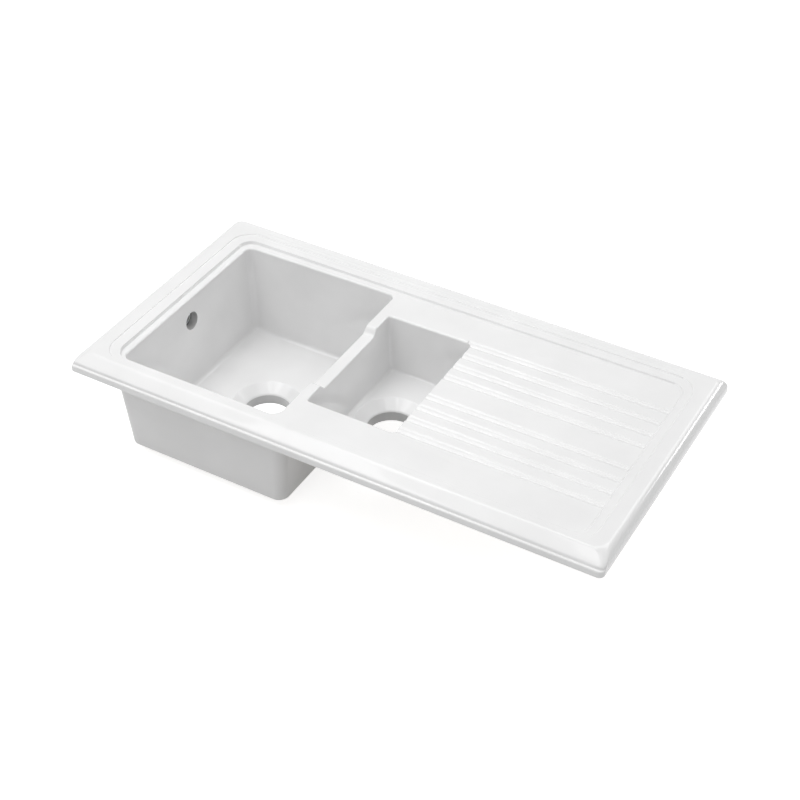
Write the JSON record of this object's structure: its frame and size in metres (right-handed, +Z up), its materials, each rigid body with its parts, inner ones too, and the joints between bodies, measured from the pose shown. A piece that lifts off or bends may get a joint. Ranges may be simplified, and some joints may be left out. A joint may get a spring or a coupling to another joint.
{
  "type": "inset kitchen sink",
  "caption": "White glazed fireclay inset kitchen sink with a large bowl, a half bowl, a divider weir and a fluted drainer on the right.",
  "frame": {"origin": "plan centre of the rim, on the worktop's plane under the rim's seal", "axes": "+X along the sink towards the drainer on the right, +Y towards the rear, +Z up"},
  "size_m": [1.023, 0.523, 0.2265],
  "materials": {
    "fireclay": "gloss",
    "rubber": "matte",
    "plastic": "gloss"
  },
  "bodies": {
    "root": {"sink_body": "fireclay", "rim_seal": "rubber", "overflow_sleeve": "rubber", "overflow_elbow": "plastic"}
  },
  "joints": []
}
